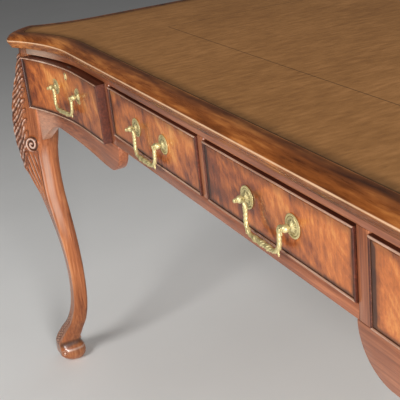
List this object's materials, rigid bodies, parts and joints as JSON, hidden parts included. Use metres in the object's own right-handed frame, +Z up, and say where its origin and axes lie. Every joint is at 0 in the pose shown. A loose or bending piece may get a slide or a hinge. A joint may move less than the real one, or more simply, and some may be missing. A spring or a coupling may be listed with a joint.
{
  "type": "partners desk",
  "caption": "Partners desk on carved cabriole legs, with a moulded veneered top whose corners sweep out, and drawers with bail pulls on both long sides.",
  "frame": {"origin": "on the floor under the middle of the desk", "axes": "+X along the desk, -Y out of the front, +Z up"},
  "size_m": [1.5552, 1.0212, 0.77],
  "materials": {
    "mahogany": "polished reddish brown mahogany",
    "figured_veneer": "polished flame-figured veneer with a cockbead",
    "top_veneer": "polished faded brown veneer",
    "drawer_lining": "plain planed wood",
    "brass": "cast antique brass",
    "steel": "filed steel"
  },
  "bodies": {
    "carcass": {"top_board": "mahogany", "veneer_field": "top_veneer", "inner_boards": "drawer_lining", "drawer_runners": "drawer_lining", "left_end_panel": "figured_veneer", "right_end_panel": "figured_veneer", "front_top_rail": "mahogany", "front_lower_rail": "mahogany", "front_stiles": "mahogany", "back_top_rail": "mahogany", "back_lower_rail": "mahogany", "back_stiles": "mahogany", "front_left_leg": "mahogany", "front_left_apron": "mahogany", "front_right_leg": "mahogany", "front_right_apron": "mahogany", "back_left_leg": "mahogany", "back_left_apron": "mahogany", "back_right_leg": "mahogany", "back_right_apron": "mahogany"},
    "front_left_centre_drawer": {"front_left_centre_drawer_face": "figured_veneer", "front_left_centre_drawer_box": "drawer_lining", "front_left_centre_pull_plates": "brass"},
    "front_left_centre_bail": {"front_left_centre_pull_bail": "brass"},
    "front_left_end_drawer": {"front_left_end_drawer_face": "figured_veneer", "front_left_end_drawer_box": "drawer_lining", "front_left_end_pull_plates": "brass", "front_left_drawer_lock": "brass"},
    "front_left_end_bail": {"front_left_end_pull_bail": "brass"},
    "front_left_bolt": {"front_left_lock_bolt": "steel"},
    "front_right_centre_drawer": {"front_right_centre_drawer_face": "figured_veneer", "front_right_centre_drawer_box": "drawer_lining", "front_right_centre_pull_plates": "brass"},
    "front_right_centre_bail": {"front_right_centre_pull_bail": "brass"},
    "front_right_end_drawer": {"front_right_end_drawer_face": "figured_veneer", "front_right_end_drawer_box": "drawer_lining", "front_right_end_pull_plates": "brass", "front_right_drawer_lock": "brass"},
    "front_right_end_bail": {"front_right_end_pull_bail": "brass"},
    "front_right_bolt": {"front_right_lock_bolt": "steel"},
    "back_left_centre_drawer": {"back_left_centre_drawer_face": "figured_veneer", "back_left_centre_drawer_box": "drawer_lining", "back_left_centre_pull_plates": "brass"},
    "back_left_centre_bail": {"back_left_centre_pull_bail": "brass"},
    "back_left_end_drawer": {"back_left_end_drawer_face": "figured_veneer", "back_left_end_drawer_box": "drawer_lining", "back_left_end_pull_plates": "brass", "back_left_drawer_lock": "brass"},
    "back_left_end_bail": {"back_left_end_pull_bail": "brass"},
    "back_left_bolt": {"back_left_lock_bolt": "steel"},
    "back_right_centre_drawer": {"back_right_centre_drawer_face": "figured_veneer", "back_right_centre_drawer_box": "drawer_lining", "back_right_centre_pull_plates": "brass"},
    "back_right_centre_bail": {"back_right_centre_pull_bail": "brass"},
    "back_right_end_drawer": {"back_right_end_drawer_face": "figured_veneer", "back_right_end_drawer_box": "drawer_lining", "back_right_end_pull_plates": "brass", "back_right_drawer_lock": "brass"},
    "back_right_end_bail": {"back_right_end_pull_bail": "brass"},
    "back_right_bolt": {"back_right_lock_bolt": "steel"}
  },
  "joints": [
    {"name": "front_left_centre_drawer_slide", "type": "slide", "parent": "carcass", "child": "front_left_centre_drawer", "axis": [0, -1, 0], "range_m": [0, 0.3]},
    {"name": "front_left_centre_bail_swing", "type": "hinge", "parent": "front_left_centre_drawer", "child": "front_left_centre_bail", "pos_m": [-0.177, -0.4425, 0.6815], "axis": [-1, 0, 0], "range_deg": [-4, 85]},
    {"name": "front_left_end_drawer_slide", "type": "slide", "parent": "carcass", "child": "front_left_end_drawer", "axis": [0, -1, 0], "range_m": [-0.013, 0.287]},
    {"name": "front_left_end_bail_swing", "type": "hinge", "parent": "front_left_end_drawer", "child": "front_left_end_bail", "pos_m": [-0.53, -0.45855, 0.68], "axis": [-0.9955, -0.095, 0], "range_deg": [-4, 85]},
    {"name": "front_left_bolt_throw", "type": "slide", "parent": "front_left_end_drawer", "child": "front_left_bolt", "axis": [0, 0, 1], "range_m": [0, 0.008]},
    {"name": "front_right_centre_drawer_slide", "type": "slide", "parent": "carcass", "child": "front_right_centre_drawer", "axis": [0, -1, 0], "range_m": [0, 0.3]},
    {"name": "front_right_centre_bail_swing", "type": "hinge", "parent": "front_right_centre_drawer", "child": "front_right_centre_bail", "pos_m": [0.177, -0.4425, 0.6815], "axis": [-1, 0, 0], "range_deg": [-4, 85]},
    {"name": "front_right_end_drawer_slide", "type": "slide", "parent": "carcass", "child": "front_right_end_drawer", "axis": [0, -1, 0], "range_m": [0, 0.3]},
    {"name": "front_right_end_bail_swing", "type": "hinge", "parent": "front_right_end_drawer", "child": "front_right_end_bail", "pos_m": [0.53, -0.44555, 0.68], "axis": [-0.9955, 0.095, 0], "range_deg": [-4, 85]},
    {"name": "front_right_bolt_throw", "type": "slide", "parent": "front_right_end_drawer", "child": "front_right_bolt", "axis": [0, 0, 1], "range_m": [0, 0.008]},
    {"name": "back_left_centre_drawer_slide", "type": "slide", "parent": "carcass", "child": "back_left_centre_drawer", "axis": [0, 1, 0], "range_m": [0, 0.3]},
    {"name": "back_left_centre_bail_swing", "type": "hinge", "parent": "back_left_centre_drawer", "child": "back_left_centre_bail", "pos_m": [-0.177, 0.4425, 0.6815], "axis": [1, 0, 0], "range_deg": [-4, 85]},
    {"name": "back_left_end_drawer_slide", "type": "slide", "parent": "carcass", "child": "back_left_end_drawer", "axis": [0, 1, 0], "range_m": [0, 0.3]},
    {"name": "back_left_end_bail_swing", "type": "hinge", "parent": "back_left_end_drawer", "child": "back_left_end_bail", "pos_m": [-0.53, 0.44555, 0.68], "axis": [0.9955, -0.095, 0], "range_deg": [-4, 85]},
    {"name": "back_left_bolt_throw", "type": "slide", "parent": "back_left_end_drawer", "child": "back_left_bolt", "axis": [0, 0, 1], "range_m": [0, 0.008]},
    {"name": "back_right_centre_drawer_slide", "type": "slide", "parent": "carcass", "child": "back_right_centre_drawer", "axis": [0, 1, 0], "range_m": [0, 0.3]},
    {"name": "back_right_centre_bail_swing", "type": "hinge", "parent": "back_right_centre_drawer", "child": "back_right_centre_bail", "pos_m": [0.177, 0.4425, 0.6815], "axis": [1, 0, 0], "range_deg": [-4, 85]},
    {"name": "back_right_end_drawer_slide", "type": "slide", "parent": "carcass", "child": "back_right_end_drawer", "axis": [0, 1, 0], "range_m": [0, 0.3]},
    {"name": "back_right_end_bail_swing", "type": "hinge", "parent": "back_right_end_drawer", "child": "back_right_end_bail", "pos_m": [0.53, 0.44555, 0.68], "axis": [0.9955, 0.095, 0], "range_deg": [-4, 85]},
    {"name": "back_right_bolt_throw", "type": "slide", "parent": "back_right_end_drawer", "child": "back_right_bolt", "axis": [0, 0, 1], "range_m": [0, 0.008]}
  ]
}
